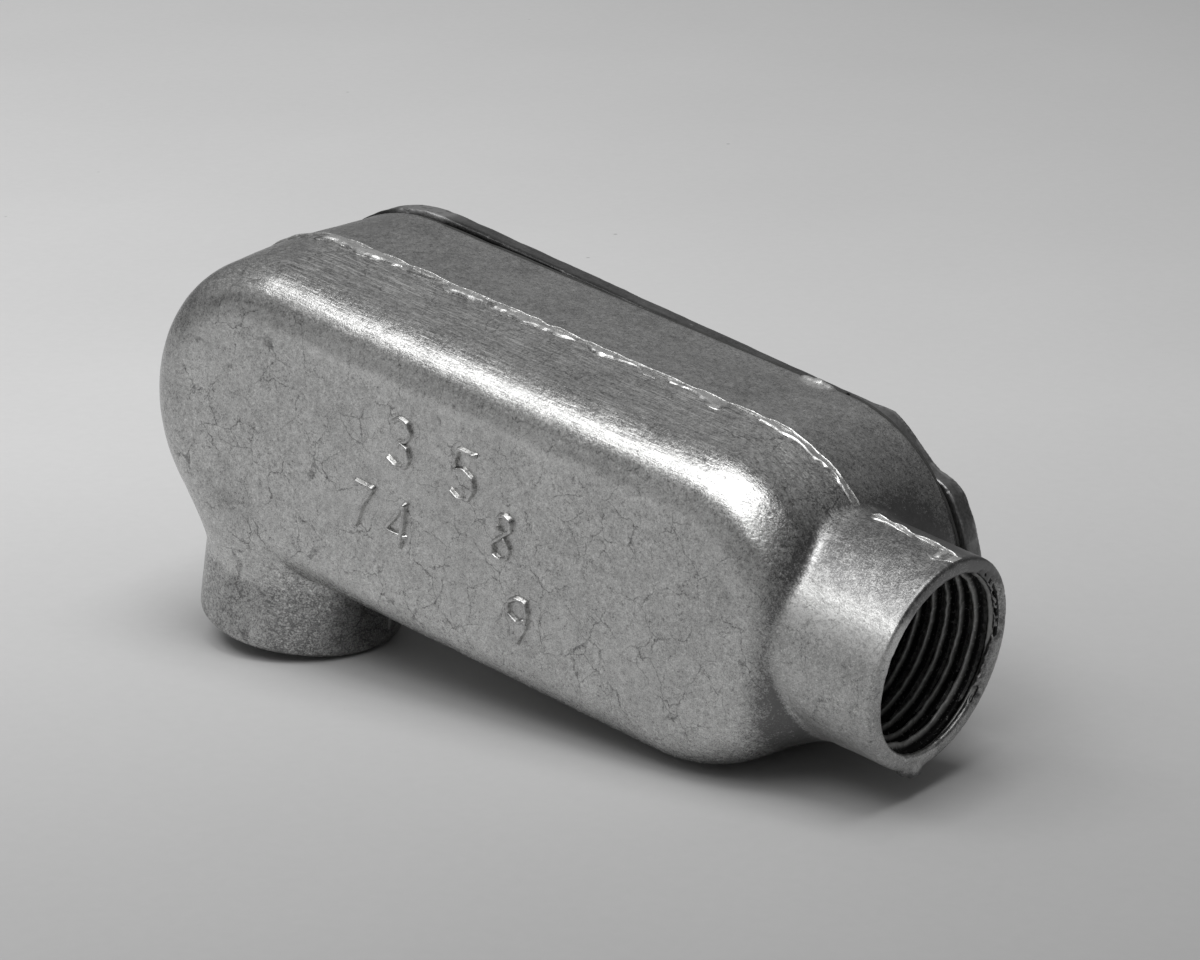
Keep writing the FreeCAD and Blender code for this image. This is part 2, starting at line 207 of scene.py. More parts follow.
def casting_field(x, y, z):
    """Distance outside the casting's skin: box and hubs joined with fillets, less the hollow and bores."""
    # Outer box: its half height shrinks with the draft on each side of the parting plane
    behind, before = (PARTING_Y - y) * math.tan(BACK_DRAFT), (y - PARTING_Y) * math.tan(FRONT_DRAFT)
    half = PARTING_HALF - np.where(y < PARTING_Y, behind, before)
    box = meet(from_axis(x, z) - half, BACK_Y - y, BACK_EDGE)
    box = meet(box, y - RIM_Y, 0.35)
    # Hubs: the fillet at the end hub is wide below and tight above, the side hub's is wide on its far side
    from_end_axis = np.hypot(y, z)
    from_side_axis = np.hypot(x - FAR_ARC_X, y)
    end_hub = np.maximum(meet(from_end_axis - END_HUB, x, 0.45), HUB_ARC_X - x)
    side_hub = meet(from_side_axis - SIDE_HUB - 0.012 * (-16 - z), SIDE_MOUTH_Z - z, 1.1)
    side_hub = np.maximum(side_hub, z - DROP)
    solid = join(box, end_hub, 0.6 + 3.4 * ease(-2.5, -11, z - 0.3 * y))
    wide = 3.0 * ease(-4, -11, y) * ease(9, -5, x - FAR_ARC_X) * ease(-8, -15, z)
    solid = join(solid, side_hub, 0.7 + wide)
    # Hollow: an inner box with a rounded floor, around the collars of the bores and the bosses of the screws
    inner = INNER_HALF - (RIM_Y - y) * math.tan(INNER_DRAFT)
    hollow = meet(from_axis(x, z) - inner, INNER_BACK_Y - y, 3.0)
    hollow = np.maximum(hollow, -np.maximum(from_end_axis - COLLAR, -END_COLLAR_DEPTH - x))
    hollow = np.maximum(hollow, -np.maximum(from_side_axis - COLLAR, z - SIDE_MOUTH_Z - SIDE_COLLAR_DEPTH))
    for screw_x in SCREWS_X:
        from_screw = np.hypot(x - screw_x, z - DROP)
        hollow = np.maximum(hollow, -np.maximum(from_screw - BOSS, RIM_Y - BOSS_DEPTH - y))
        hollow = np.minimum(hollow, np.maximum(from_screw - BOSS_HOLE, RIM_Y - BOSS_HOLE_DEPTH - y))
    solid = meet(solid, -hollow, 0.3)
    # Bores, each with a narrower throat behind the shoulder that stops the conduit
    solid = meet(solid, -np.maximum(from_end_axis - BORE, -BORE_DEPTH - x), 0.35)
    solid = meet(solid, -np.maximum(from_side_axis - BORE, z - SIDE_MOUTH_Z - BORE_DEPTH), 0.35)
    solid = meet(solid, -np.maximum(from_end_axis - THROAT, END_THROAT_X - x), 0.6)
    solid = meet(solid, -np.maximum(from_side_axis - THROAT, z - SIDE_THROAT_Z), 0.6)
    # The end hub's lip stands inwards over the first turn, and a drip of metal hangs under it
    turn = np.degrees(np.arctan2(z, y))
    flap = ease(-38, -30, turn) * ease(2, -12, turn) * (0.55 + 0.15 * np.sin(turn * 0.9))
    lip = np.maximum(LIP - flap - from_end_axis, from_end_axis - 11.2)
    solid = join(solid, meet(lip, np.maximum(x, -LIP_DEPTH - x), 0.1), 0.15)
    for middle, radius in DRIPS:
        solid = join(solid, ball(x, y, z, middle, radius), 0.35)
    for middle, radius in BRUISES:
        solid = join(solid, ball(x, y, z, middle, radius, 0.6), 0.3)
    for degrees, out, radius in CHIPS:
        turn = math.radians(degrees)
        chip = ball(x, y, z, (0.1, out * math.cos(turn), out * math.sin(turn)), radius)
        solid = meet(solid, -chip, 0.1)
    return solid


casting_low, casting_high, casting_step = (-108.4, -14.2, -31.1), (1.4, 17.8, 19.0), 0.34
skin = casting_field(*space(casting_low, casting_high, casting_step))
casting = make_piece("casting", *skin_of(skin, casting_low, casting_step))


def hand_finish(places, normals):
    """Slow waves and smaller ones over the whole outside, which fade out at the rim, bores and mouths."""
    x, y, z = places.T
    from_bore = np.minimum(np.hypot(y, z), np.hypot(x - FAR_ARC_X, y))
    outside = ease(-0.2, 0.6, from_axis(x, z) - 15.4) + ease(-11.5, -12.4, y) + ease(11.6, 12.0, from_bore)
    even = np.clip(outside, 0, 1) * ease(16.3, 15.2, y) * ease(-0.1, -1.2, x)
    waves = 0.09 * lumps(places, 14.0, 3) + 0.028 * lumps(places, 3.2, 4) + 0.016 * lumps(places, 1.3, 5)
    return even * waves


push_out(casting, hand_finish)
thin_out(casting, 190000)


class Value:
    """One socket of a material. Arithmetic on values adds Math nodes, and node() adds any other node."""

    def __init__(self, tree, socket):
        self.tree = tree
        self.socket = socket

    def node(self, kind, settings, sockets, output=0):
        """Adds a node: its type, its settings, which are set first, and its sockets' values or links."""
        made = self.tree.nodes.new("ShaderNode" + kind)
        for name, setting in settings.items():
            setattr(made, name, setting)
        for name, value in sockets.items():
            if isinstance(value, Value):
                self.tree.links.new(value.socket, made.inputs[name])
            else:
                made.inputs[name].default_value = value
        return Value(self.tree, made.outputs[output] if made.outputs else None)

    def math(self, operation, *others):
        return self.node("Math", {"operation": operation}, dict(enumerate((self, *others))))

    def __add__(self, other):
        return self.math("ADD", other)

    __radd__ = __add__

    def __mul__(self, other):
        return self.math("MULTIPLY", other)

    __rmul__ = __mul__

    def __sub__(self, other):
        return self.math("SUBTRACT", other)

    def __rsub__(self, other):
        return self.node("Math", {"operation": "SUBTRACT"}, {0: other, 1: self})

    def rise(self, low, high):
        """Runs smoothly from 0 at low to 1 at high."""
        ranges = {"Value": self, "From Min": low, "From Max": high}
        return self.node("MapRange", {"interpolation_type": "SMOOTHSTEP"}, ranges)

    def stretch(self, x, y, z):
        """A place with its three coordinates scaled apart."""
        return self.node("VectorMath", {"operation": "MULTIPLY"}, {0: self, 1: (x, y, z)})

    def away(self, x, y, z):
        """Distance of a place from a point, in millimetres."""
        return self.node("VectorMath", {"operation": "DISTANCE"}, {0: self, 1: (x, y, z)}, output=1)

    def along(self, x, y, z):
        """How far a place lies along a direction."""
        return self.node("VectorMath", {"operation": "DOT_PRODUCT"}, {0: self, 1: (x, y, z)}, output=1)

    def axes(self):
        """The three coordinates of a place."""
        return [self.node("SeparateXYZ", {}, {0: self}, output=axis) for axis in range(3)]

    def noise(self, size, detail=2.0, roughness=0.5):
        """Cloudy values from 0 to 1 around 0.5, with features about that many millimetres across."""
        sockets = {"Vector": self, "Scale": 1 / size, "Detail": detail, "Roughness": roughness}
        return self.node("TexNoise", {}, sockets)

    def sway(self, size, detail=2.0, roughness=0.5):
        """The same cloudy values around 0, from -0.5 to 0.5."""
        return self.noise(size, detail, roughness) - 0.5

    def shades(self, dark, light):
        """A colour between two, by this value."""
        return self.node("Mix", {"data_type": "RGBA"}, {0: self, 6: (*dark, 1), 7: (*light, 1)}, output=2)


def start_material(name):
    """A new empty material, with the place on the piece in millimetres to begin its expressions from."""
    material = bpy.data.materials.new(name)
    material.use_nodes = True
    tree = material.node_tree
    tree.nodes.clear()
    object_place = Value(tree, None).node("TexCoord", {}, {}, output=3)
    place = object_place.node("VectorMath", {"operation": "SCALE"}, {0: object_place, "Scale": 1000.0})
    return material, place


def finish_material(place, colour, roughness, height, metallic=1.0):
    """Joins the colour, roughness and height in millimetres to the shader and the output."""
    normal = place.node("Bump", {}, {"Height": height, "Distance": MM, "Strength": 1.0})
    sockets = {"Base Color": colour, "Roughness": roughness, "Normal": normal, "Metallic": metallic}
    shader = place.node("BsdfPrincipled", {}, sockets)
    place.node("OutputMaterial", {}, {"Surface": shader})


def scratches(place, turn, size, share):
    """Short straight scratches: noise drawn out along a direction turned about Y, cut off near its top."""
    sockets = {"Vector": place, "Angle": math.radians(turn)}
    turned = place.node("VectorRotate", {"rotation_type": "Y_AXIS"}, sockets)
    return turned.stretch(0.11, 0.8, 1.0).noise(size, 2.0, 0.6).rise(share, share + 0.07)


def cast_skin():
    """As-cast aluminium: clouded grey with cold cracks and specks, rubbed bright along its sides, with
    painted highlights and shade.
    """
    material, place = start_material("cast_skin")
    x, y, z = place.axes()
    hub_reach = place.stretch(0, 1, 1).away(0, 0, 0)
    on_hub = x.rise(-14.5, -11.5) * hub_reach.rise(13.2, 12.3)
    on_box = 1 - on_hub
    on_side_hub = z.rise(-20.6, -22.0)
    # The box's end wall round the end hub, which gets painted shade in the tone below
    beside_hub = hub_reach.rise(12.1, 12.7) * hub_reach.rise(19.0, 14.0) * x.rise(-17.0, -12.0)
    rim_side = y.rise(1.6, 2.6)
    band = y.rise(-12.5, -10.5) * y.rise(2.4, 1.6) * on_box
    back_edge = y.rise(-12.6, -11.4) * y.rise(-5.5, -7.5) * on_box
    mottle = place.sway(7.0, 5.0, 0.7)
    swirl = place.sway(1.6, 3.0)
    grain = place.sway(0.5, 3.0, 0.7)
    fine = place.sway(0.17, 2.0, 0.75)
    # Cracks where the metal chilled in folds: the borders of bent cells, broken up into stretches
    cloud = {"Vector": place, "Scale": 0.4, "Detail": 4.0, "Roughness": 0.6}
    wander = place.node("TexNoise", {}, cloud, output=1)
    bent = place.node("VectorMath", {"operation": "MULTIPLY_ADD"}, {0: wander, 1: (2.6, 2.6, 2.6), 2: place})
    bent = bent.stretch(1.0, 0.45, 1.0)
    wide_border = place.node("TexVoronoi", {"feature": "DISTANCE_TO_EDGE"}, {"Vector": bent, "Scale": 0.2})
    close_border = place.node("TexVoronoi", {"feature": "DISTANCE_TO_EDGE"}, {"Vector": bent, "Scale": 0.47})
    folds = place.noise(3.5, 3.0) + on_side_hub * 0.2
    cracks = wide_border.rise(0.018, 0.004) * folds.rise(0.38, 0.56)
    cracks = cracks + close_border.rise(0.028, 0.008) * folds.rise(0.46, 0.62) * 0.7
    cracks = cracks * (1 - back_edge * 0.8) * (1 - rim_side * 0.8) * (1 - on_hub * 0.3)
    specks = grain.rise(-0.14, -0.2) * folds.rise(0.4, 0.6)
    flecks = grain.rise(0.16, 0.21) * folds.rise(0.6, 0.45)
    # Rubbed scratches along the box on its sides, in the band between the back edge and the parting plane
    rubs = place.stretch(0.07, 1.0, 1.0).noise(0.28, 3.0, 0.75)
    streaks = place.stretch(0.12, 1.0, 1.0).noise(0.13, 2.0, 0.7)
    rub_spot = place.away(-82.0, 0.5, 17.0).rise(13.0, 4.0)
    rubbed = rubs.rise(0.52, 0.66) * band * (place.noise(6.0, 2.0).rise(0.4, 0.6) + rub_spot)
    handling = scratches(place, 35, 0.15, 0.64) + scratches(place, -20, 0.13, 0.65)
    handling = handling + scratches(place, 80, 0.14, 0.65)
    bruise = place.away(-31.2, 16.3, 17.2).rise(2.6, 1.6)
    # Painted highlight and shade high on the back's edge: brighter on its round, darker just below that, and
    # paler again on the flat
    painted_edge_light = y.rise(-9.6, -10.6) * y.rise(-11.9, -11.6) * 0.12
    painted_edge_light = painted_edge_light + y.rise(-12.2, -12.6) * 0.15 - y.rise(-11.75, -12.0) * y.rise(-12.45, -12.2) * 0.12
    painted_edge_light = painted_edge_light * z.rise(9.0, 10.8) * on_box
    # Painted shade on the end hub's top and a painted highlight lower down on the back's side
    hub_painted_light = z.rise(9.2, 5.5) * 0.42 - 0.42 + z.rise(1.5, 4.8) * z.rise(8.6, 6.6) * y.rise(0.0, -3.0) * 0.34
    tone = 0.565 + mottle * 0.5 + swirl * 0.35 + grain * 0.9 + fine * 1.3
    tone = tone + painted_edge_light + on_hub * hub_painted_light + bruise * 0.5 + handling * 0.24 + flecks * 0.25
    tone = tone + rubbed * 0.36 + (rubs - 0.5) * band * 0.9 + (streaks - 0.5) * band * 0.9
    # Painted shade in the tone: darker on the top and sides, on the end wall beside the end hub, and towards
    # the far end and on its round
    tone = tone - cracks * 0.36 - specks * 0.25 - rim_side * 0.24 - band * 0.16
    tone = tone - on_side_hub * 0.2 - beside_hub * 0.55 - x.rise(-1.0, -0.4) * 0.12
    tone = tone - x.rise(-70.0, -95.0) * 0.04 - x.rise(-97.0, -104.0) * 0.22
    roughness = 0.31 + grain * 0.25 + fine * 0.25 - back_edge * 0.05 + on_hub * 0.08 + beside_hub * 0.15
    height = grain * (0.032 - rim_side * 0.01) + fine * 0.015 + swirl * 0.045
    height = height + (rubs * 0.035 + streaks * 0.016) * band
    finish_material(place, tone.shades((0.17, 0.17, 0.17), (0.84, 0.84, 0.83)), roughness, height)
    return material


casting_skin = cast_skin()
casting.data.materials.append(casting_skin)
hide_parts("body_casting")
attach(casting, "root")


# The mould flash: aluminium that ran out between the mould halves, broken and ground off by hand. What is
# left is a low ragged strip along the parting plane, round the box and along both hubs, rooted in the skin.
def carry(profile, path, outward, across):
    """A strip of closed rings: point = path + profile[..., 0] * across + profile[..., 1] * outward."""
    rings, corners = profile.shape[:2]
    points = path[:, None] + profile[..., :1] * across[:, None] + profile[..., 1:] * outward[:, None]
    ring, corner = np.meshgrid(np.arange(rings - 1), np.arange(corners), indexing="ij")
    after = (corner + 1) % corners
    here, there = ring * corners, (ring + 1) * corners
    faces = np.stack([here + corner, there + corner, there + after, here + after], -1)
    return points.reshape(-1, 3), faces.reshape(-1, 4)


def mark_points(piece, name, values):
    """Gives each point of a piece a number under a name, which a material can read."""
    marks = piece.data.attributes.new(name, "FLOAT", "POINT")
    marks.data.foreach_set("value", values.ravel().astype(np.float32))


def flash_strip(name, path, outward, seed, height, width, swells=()):
    """A broken shelf with a thin fin along its far edge: height above the skin = the larger of shelf and fin.

    The shelf reaches width towards the back, more at each swell (middle, spread, extra width along the path).
    The fin is a bell curve about 0.3 mm on the far side. Both are uneven and sink to nothing at the ends.
    """
    across = np.tile((0.0, 1.0, 0.0), (len(path), 1))
    length = np.r_[0, np.cumsum(np.linalg.norm(np.diff(path, axis=0), axis=1))]
    along = np.c_[length, np.zeros((len(path), 2))]
    reach = width * (1 + 0.45 * lumps(along, 2.6, seed) + 0.15 * lumps(along, 0.7, seed + 1))
    for middle, spread, wider in swells:
        reach = reach + wider * np.exp(-(((length - middle) / spread) ** 2))
    t = np.r_[np.linspace(-1, -0.1, 17), np.linspace(0, 1, 16)]
    v = np.where(t < 0, t * reach[:, None], t * 0.55)
    near = np.broadcast_to(reach[:, None], v.shape)
    places = np.stack([np.broadcast_to(length[:, None], v.shape), v, 0 * v], -1)
    # The shelf slopes up from its near edge, stops short of the fin and is cracked across
    shelf = ease(-1.0, -0.6, v / near) * ease(0.16, 0.06, v)
    whole = ease(-0.35, -0.1, lumps(along, 4.5, seed + 2)) * ease(-0.8, -0.65, lumps(along, 1.1, seed + 3))
    uneven = 0.8 + 0.3 * lumps(along, 3.0, seed + 4)[:, None] + 0.16 * lumps(places, 0.6, seed + 5)
    shelf = shelf * (0.12 + 0.88 * whole[:, None]) * uneven
    middle = 0.3 + 0.07 * lumps(along, 1.2, seed + 6) + 0.03 * lumps(along, 0.3, seed + 7)
    tall = 0.75 + 0.35 * lumps(along, 1.6, seed + 8)
    fin = np.exp(-(((v - middle[:, None]) / 0.09) ** 2)) * tall[:, None]
    crown = height * np.maximum(shelf * 0.75, fin) * (1 - ease(0.9, 1.0, t))
    ends = ease(0, 1.5, length) * ease(0, 1.5, length[-1] - length)
    rise = ends[:, None] * crown - 0.06
    ring_v = np.concatenate([v, v[:, [-1, 0]]], 1)
    ring_h = np.concatenate([rise, np.full((len(v), 2), -0.5)], 1)
    strip = make_piece(name, *carry(np.stack([ring_v, ring_h], -1), path, outward, across))
    mark_points(strip, "low", np.concatenate([1 - crown / height, np.ones((len(v), 2))], 1))
    return strip


def arc(centre_x, start, end):
    """Points of the parting line round one end of the box, between two turns in degrees from +X to +Z."""
    turn = np.radians(np.linspace(start, end, int(abs(end - start) * 2.8)))[:, None]
    outward = np.hstack([np.cos(turn), 0 * turn, np.sin(turn)])
    return np.array((centre_x, PARTING_Y, DROP)) + PARTING_HALF * outward, outward


def straight(start, end, outward):
    """Points a ninth of a millimetre apart on a straight stretch, with the same outward direction at each."""
    start, end = np.array(start), np.array(end)
    share = np.linspace(0, 1, int(np.linalg.norm(end - start) * 9))[1:-1, None]
    return start + share * (end - start), np.tile(outward, (len(share), 1))


def chain(*stretches):
    """Stretches of a path one after the other."""
    return [np.concatenate(part) for part in zip(*stretches)]


top_z, low_z = DROP + PARTING_HALF, DROP - PARTING_HALF
box_top = chain(
    arc(HUB_ARC_X, 44, 90),
    straight((HUB_ARC_X, PARTING_Y, top_z), (FAR_ARC_X, PARTING_Y, top_z), (0, 0, 1)),
    arc(FAR_ARC_X, 90, 229),
)
box_underside = chain(
    straight((FAR_ARC_X + 11.5, PARTING_Y, low_z), (HUB_ARC_X, PARTING_Y, low_z), (0, 0, -1)),
    arc(HUB_ARC_X, 270, 328),
)
hub_side = math.sqrt(END_HUB**2 - PARTING_Y**2)
far_side = math.sqrt(SIDE_HUB**2 - PARTING_Y**2)
tilt_y, tilt_z = PARTING_Y / END_HUB, hub_side / END_HUB
near_x, far_x, mouth_z = FAR_ARC_X + far_side, FAR_ARC_X - far_side, SIDE_MOUTH_Z + 0.9
top_end, low_end = (-0.2, PARTING_Y - 1.6, hub_side + 0.2), (-0.3, PARTING_Y - 1.5, -hub_side - 0.1)
hub_top = straight((-13.5, PARTING_Y, hub_side), top_end, (0, tilt_y, tilt_z))
hub_underside = straight((-12.5, PARTING_Y, -hub_side), low_end, (0, tilt_y, -tilt_z))
side_hub_near = straight((near_x, PARTING_Y, low_z), (near_x, PARTING_Y, mouth_z), (1, 0, 0))
side_hub_far = straight((far_x, PARTING_Y, -15), (far_x, PARTING_Y, mouth_z), (-1, 0, 0))
top_swells = (
    (21.5, 2.6, 1.0),
    (49, 1.6, 0.6),
    (38, 0.9, 0.5),
    (73, 5.0, 0.9),
    (80, 1.8, 0.8),
    (60, 1.2, 0.6),
)
hub_swells = ((11.0, 1.6, 1.4), (1.5, 0.8, 0.5), (7.5, 1.0, 0.4))
strips = [
    flash_strip("flash_box_top", *box_top, 20, 0.4, 0.9, top_swells),
    flash_strip("flash_box_underside", *box_underside, 30, 0.4, 0.7),
    flash_strip("flash_end_hub_top", *hub_top, 40, 0.45, 0.7, hub_swells),
    flash_strip("flash_end_hub_underside", *hub_underside, 50, 0.6, 0.6),
    flash_strip("flash_side_hub_near", *side_hub_near, 60, 0.35, 0.5),
    flash_strip("flash_side_hub_far", *side_hub_far, 70, 0.35, 0.5),
]


def torn_metal():
    """Bright torn aluminium, smooth on its crests, with darker blotches in the low places beside them."""
    material, place = start_material("flash_metal")
    low = place.node("Attribute", {"attribute_name": "low"}, {}, output=2)
    fine = place.sway(0.2, 3.0, 0.7)
    # The low places beside the crests are made darker, in blotches
    blotches = low.rise(0.35, 0.9) * place.noise(1.0, 3.0).rise(0.36, 0.56)
    tone = 0.85 + place.sway(1.6, 4.0, 0.65) * 0.9 + fine * 0.8 - blotches * 0.65
    colour = tone.shades((0.08, 0.08, 0.08), (0.85, 0.85, 0.84))
    height = fine * 0.014 + place.noise(0.6, 2.0) * 0.03
    finish_material(place, colour, 0.27 + fine * 0.2 + blotches * 0.2, height)
    return material


flash_metal = torn_metal()
for strip in strips:
    strip.data.materials.append(flash_metal)
    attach(strip, "root")


# Raised figures on the flat back: plain numbers cut into the mould by hand as thin grooves, so on the casting
# they stand up as narrow ridges with flat sloping sides, a little uneven along their length.
FIGURES = {
    "3": [
        (0.05, 0.85), (0.35, 1.0), (0.75, 0.97), (0.93, 0.78), (0.8, 0.58), (0.4, 0.52),
        (0.85, 0.45), (1.0, 0.25), (0.85, 0.05), (0.4, 0.0), (0.0, 0.13),
    ],
    "5": [
        (0.95, 1.0), (0.15, 1.0), (0.05, 0.55), (0.5, 0.63), (0.9, 0.5),
        (1.0, 0.28), (0.8, 0.05), (0.4, 0.0), (0.0, 0.12),
    ],
    "7": [(0.0, 1.0), (1.0, 1.0), (0.55, 0.5), (0.35, 0.0)],
    "4": [(0.75, 0.0), (0.75, 1.0), (0.0, 0.3), (1.0, 0.3)],
    "8": [
        (0.5, 0.53), (0.15, 0.7), (0.2, 0.93), (0.5, 1.0), (0.8, 0.93), (0.85, 0.7), (0.5, 0.53),
        (0.08, 0.3), (0.15, 0.06), (0.5, 0.0), (0.85, 0.06), (0.92, 0.3), (0.5, 0.53),
    ],
    "9": [
        (0.93, 0.62), (0.55, 0.47), (0.1, 0.6), (0.05, 0.85), (0.4, 1.0),
        (0.8, 0.97), (0.95, 0.75), (0.9, 0.35), (0.65, 0.0),
    ],
}
# Each figure's left edge, foot, width and height on the back
PLACED_FIGURES = {
    "3": (-67.3, 1.4, 3.2, 5.7),
    "5": (-57.9, 1.0, 3.3, 5.7),
    "7": (-71.6, -7.9, 2.9, 5.4),
    "4": (-66.3, -8.1, 3.2, 5.5),
    "8": (-51.2, -3.7, 2.8, 5.2),
    "9": (-48.0, -12.6, 3.1, 5.3),
}
STROKE_WIDTH, STROKE_HEIGHT = 0.7, 0.46


def raised_stroke(name, corners, seed):
    """A ridge along a line through corners on the back plane: flat on top, with sides and ends that slope.

    The line's corners are eased by taking each point four times to a mean of itself and its neighbours.
    """
    corners = np.array(corners)
    legs = np.linalg.norm(np.diff(corners, axis=0), axis=1)
    reach = np.r_[0, np.cumsum(legs)]
    length = np.linspace(0, reach[-1], int(reach[-1] / 0.12) + 2)
    x, z = np.interp(length, reach, corners[:, 0]), np.interp(length, reach, corners[:, 1])
    for _ in range(4):
        x[1:-1], z[1:-1] = (x[:-2] + 2 * x[1:-1] + x[2:]) / 4, (z[:-2] + 2 * z[1:-1] + z[2:]) / 4
    path = np.stack([x, np.full_like(x, BACK_Y), z], -1)
    ahead = np.gradient(path, axis=0)
    ahead /= np.linalg.norm(ahead, axis=1)[:, None]
    outward = np.tile((0.0, -1.0, 0.0), (len(path), 1))
    across = np.cross(ahead, outward)
    along = np.c_[length, np.zeros((len(path), 2))]
    wide = STROKE_WIDTH * (1 + 0.18 * lumps(along, 1.0, seed))
    tall = STROKE_HEIGHT * (1 + 0.2 * lumps(along, 1.4, seed + 1))
    tall = tall * ease(0, 0.3, length) * ease(0, 0.3, length[-1] - length)
    t = np.array((-1.0, -0.55, -0.4, 0.0, 0.4, 0.55, 1.0, 1.0, -1.0))
    crown = np.array((0.0, 0.8, 0.97, 1.0, 0.97, 0.8, 0.0, 0.0, 0.0))
    sunk = np.array((0.1, 0.05, 0.0, 0.0, 0.0, 0.05, 0.1, 0.4, 0.4))
    profile = np.stack([t * wide[:, None] / 2, crown * tall[:, None] - sunk], -1)
    return make_piece(name, *carry(profile, path, outward, across))


for count, (figure, (left, foot, wide, tall)) in enumerate(PLACED_FIGURES.items()):
    corners = [(left + u * wide, foot + v * tall) for u, v in FIGURES[figure]]
    ridge = raised_stroke(f"raised_figure_{figure}", corners, 80 + count)
    ridge.data.materials.append(casting_skin)
    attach(ridge, "root")


# The pipe threads in both hubs, tapped 14 turns to the inch with a worn tap. Each is a sleeve whose inner
# face follows the ridges and whose outer face is sunk in the hub's wall. Its first turn is torn and shallow.
TURN = 25.4 / 14
ROOT = 10.72
RIDGE = 1.02
SLEEVE = 10.9
AROUND = 220


def thread_sleeve(seed):
    """Rings of points by depth and turn: radius = root less a rounded ridge, which winds round as a helix."""
    deep, around = np.arange(0.35, BORE_DEPTH, 0.085), np.linspace(0, 2 * np.pi, AROUND, endpoint=False)
    deep, around = np.meshgrid(deep, around, indexing="ij")
    phase = (deep / TURN - around / (2 * np.pi)) % 1.0
    ridge = ease(0.08, 0.92, 1 - abs(2 * phase - 1))
    torn = np.stack([10 * np.cos(around), 10 * np.sin(around), deep], -1)
    worn = 1 + 0.12 * lumps(torn, 1.5, seed) + 0.1 * lumps(torn, 0.5, seed + 1)
    shallow_start = ease(0.0, 2.2, deep - 0.5 * lumps(torn, 3.0, seed + 2))
    inner = ROOT - RIDGE * ridge**1.6 * worn * shallow_start
    lead_in = 0.42 * ease(1.5, 0.35, deep) * ease(-0.6, 0.2, lumps(torn, 2.6, seed + 3))
    inner = inner - lead_in * (1 - ridge)
    radius = np.concatenate([inner, np.full((2, AROUND), SLEEVE)])
    depth = np.concatenate([deep, deep[-1:], deep[:1]])
    turns = np.concatenate([around, around[:1], around[:1]])
    points = np.stack([-depth, radius * np.cos(turns), radius * np.sin(turns)], -1)
    rings = len(radius)
    ring, corner = np.meshgrid(np.arange(rings), np.arange(AROUND), indexing="ij")
    after, here, there = (corner + 1) % AROUND, ring * AROUND, (ring + 1) % rings * AROUND
    faces = np.stack([here + corner, there + corner, there + after, here + after], -1)
    crest = np.concatenate([ridge, np.zeros((2, AROUND))])
    return points.reshape(-1, 3), faces.reshape(-1, 4), crest


def tapped_metal():
    """Cut metal gone dark: near black in the roots, paler on the crests, blotched, with torn bright specks.
    """
    material, place = start_material("tapped_metal")
    blotches = place.noise(1.2, 4.0, 0.65)
    specks = place.noise(0.3, 2.0).rise(0.6, 0.7)
    crest = place.node("Attribute", {"attribute_name": "crest"}, {}, output=2).rise(0.55, 1.0)
    tone = crest * (0.35 + blotches * 0.75) + specks * 0.3 + blotches * 0.15 - 0.1
    colour = tone.shades((0.022, 0.022, 0.022), (0.55, 0.55, 0.54))
    finish_material(place, colour, 0.42 + blotches * 0.3, blotches * 0.06 + place.noise(0.35, 2.0) * 0.04)
    return material


thread_metal = tapped_metal()
points, faces, crest = thread_sleeve(90)
end_thread = make_piece("end_hub_thread", points, faces)
points = np.stack([points[:, 1] + FAR_ARC_X, -points[:, 2], SIDE_MOUTH_Z - points[:, 0]], -1)
side_thread = make_piece("side_hub_thread", points, faces)
for sleeve in (end_thread, side_thread):
    mark_points(sleeve, "crest", crest)
    sleeve.data.materials.append(thread_metal)
    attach(sleeve, "root")


# The gasket: a thin sheet of black rubber cut to the rim's shape and squeezed between rim and cover. The
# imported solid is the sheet, and a bead of rubber that the squeezing has pushed out fills the gap's edge.
BEAD_HALF = 17.6
BEAD_Y = 16.8
END_STEPS, SIDE_STEPS, BEAD_CORNERS = 160, 120, 14


def rubber():
    """Dull black rubber with dust caught on its grain."""
    material, place = start_material("gasket_rubber")
    dust = place.noise(0.8, 4.0, 0.7)
    colour = dust.shades((0.01, 0.01, 0.01), (0.06, 0.06, 0.058))
    finish_material(place, colour, 0.7 + dust * 0.15, dust * 0.05, 0.0)
    return material


def bead():
    """An oval ring of rubber, 0.82 mm high and about twice as deep, carried along the rim's outline.

    The path runs round one end, along one side, round the other end and back, BEAD_HALF from the centre line.
    """
    turn = np.radians(np.r_[np.linspace(-90, 90, END_STEPS), np.linspace(90, 270, END_STEPS)])
    centre_x = np.repeat((HUB_ARC_X, FAR_ARC_X), END_STEPS)
    out = np.stack([np.cos(turn), 0 * turn, np.sin(turn)], -1)
    centres = np.stack(np.broadcast_arrays(centre_x, BEAD_Y, DROP), -1)
    near, far = np.split(centres + BEAD_HALF * out, 2)
    steps = np.linspace(0, 1, SIDE_STEPS, endpoint=False)[:, None]
    low_side, high_side = far[-1] + steps * (near[0] - far[-1]), near[-1] + steps * (far[0] - near[-1])
    path = np.concatenate([near, high_side, far, low_side])
    flat = np.tile((0.0, 0.0, 1.0), (SIDE_STEPS, 1))
    outward = np.concatenate([out[:END_STEPS], flat, out[END_STEPS:], -flat])
    around = np.linspace(0, 2 * np.pi, BEAD_CORNERS, endpoint=False)
    swell = 0.9 + 0.16 * lumps(path, 2.5, 100)
    profile = np.stack([np.tile(0.41 * np.sin(around), (len(path), 1)), swell[:, None] * np.cos(around)], -1)
    points, faces = carry(profile, path, outward, np.tile((0.0, 1.0, 0.0), (len(path), 1)))
    first = np.arange(BEAD_CORNERS)
    last = first + (len(path) - 1) * BEAD_CORNERS
    closing = np.stack([last, first, np.roll(first, -1), np.roll(last, -1)], -1)
    return make_piece("gasket_bead", points, np.concatenate([faces, closing]))


